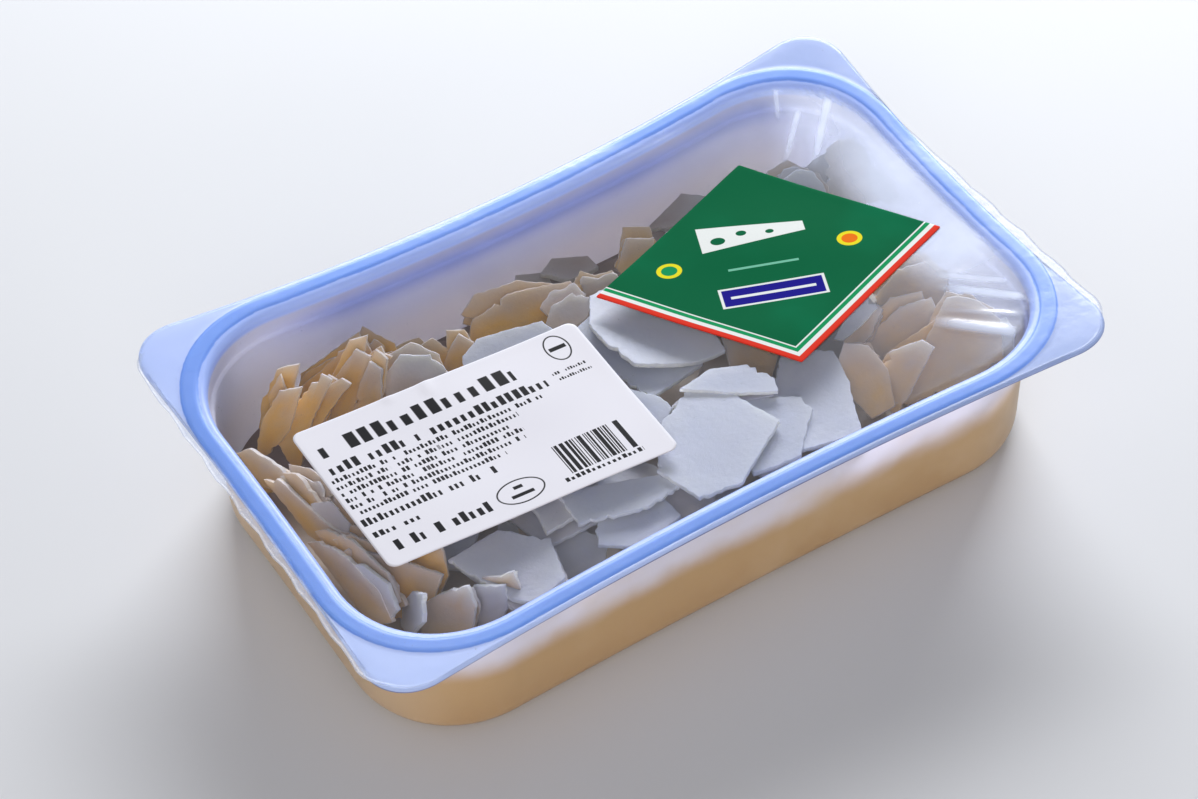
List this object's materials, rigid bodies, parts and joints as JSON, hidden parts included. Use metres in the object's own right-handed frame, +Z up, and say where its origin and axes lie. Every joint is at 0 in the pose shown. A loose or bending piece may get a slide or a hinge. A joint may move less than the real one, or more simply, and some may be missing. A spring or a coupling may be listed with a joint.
{
  "type": "pack of cheese flakes",
  "caption": "Shut rectangular blue plastic tray with a welded clear film lid, a white and a green label, filled with a loose heap of flat hard cheese flakes.",
  "frame": {"origin": "middle of the pack's outline at the level of the flat base", "axes": "+X along the tray's long sides, +Y across it, +Z up, out of the film lid"},
  "size_m": [0.2638, 0.1668, 0.0552],
  "materials": {
    "tray_plastic": "satin translucent light blue formed sheet",
    "film": "clear glossy stretched film",
    "white_paper": "smooth white label paper with dark grey print",
    "green_paper": "satin printed green label with white, green and red edge stripes",
    "cheese": "waxy pale straw hard cheese, slightly translucent"
  },
  "bodies": {
    "root": {"tray": "tray_plastic", "lid_film": "film", "white_label": "white_paper", "green_label": "green_paper", "cheese_flakes": "cheese"}
  },
  "joints": []
}
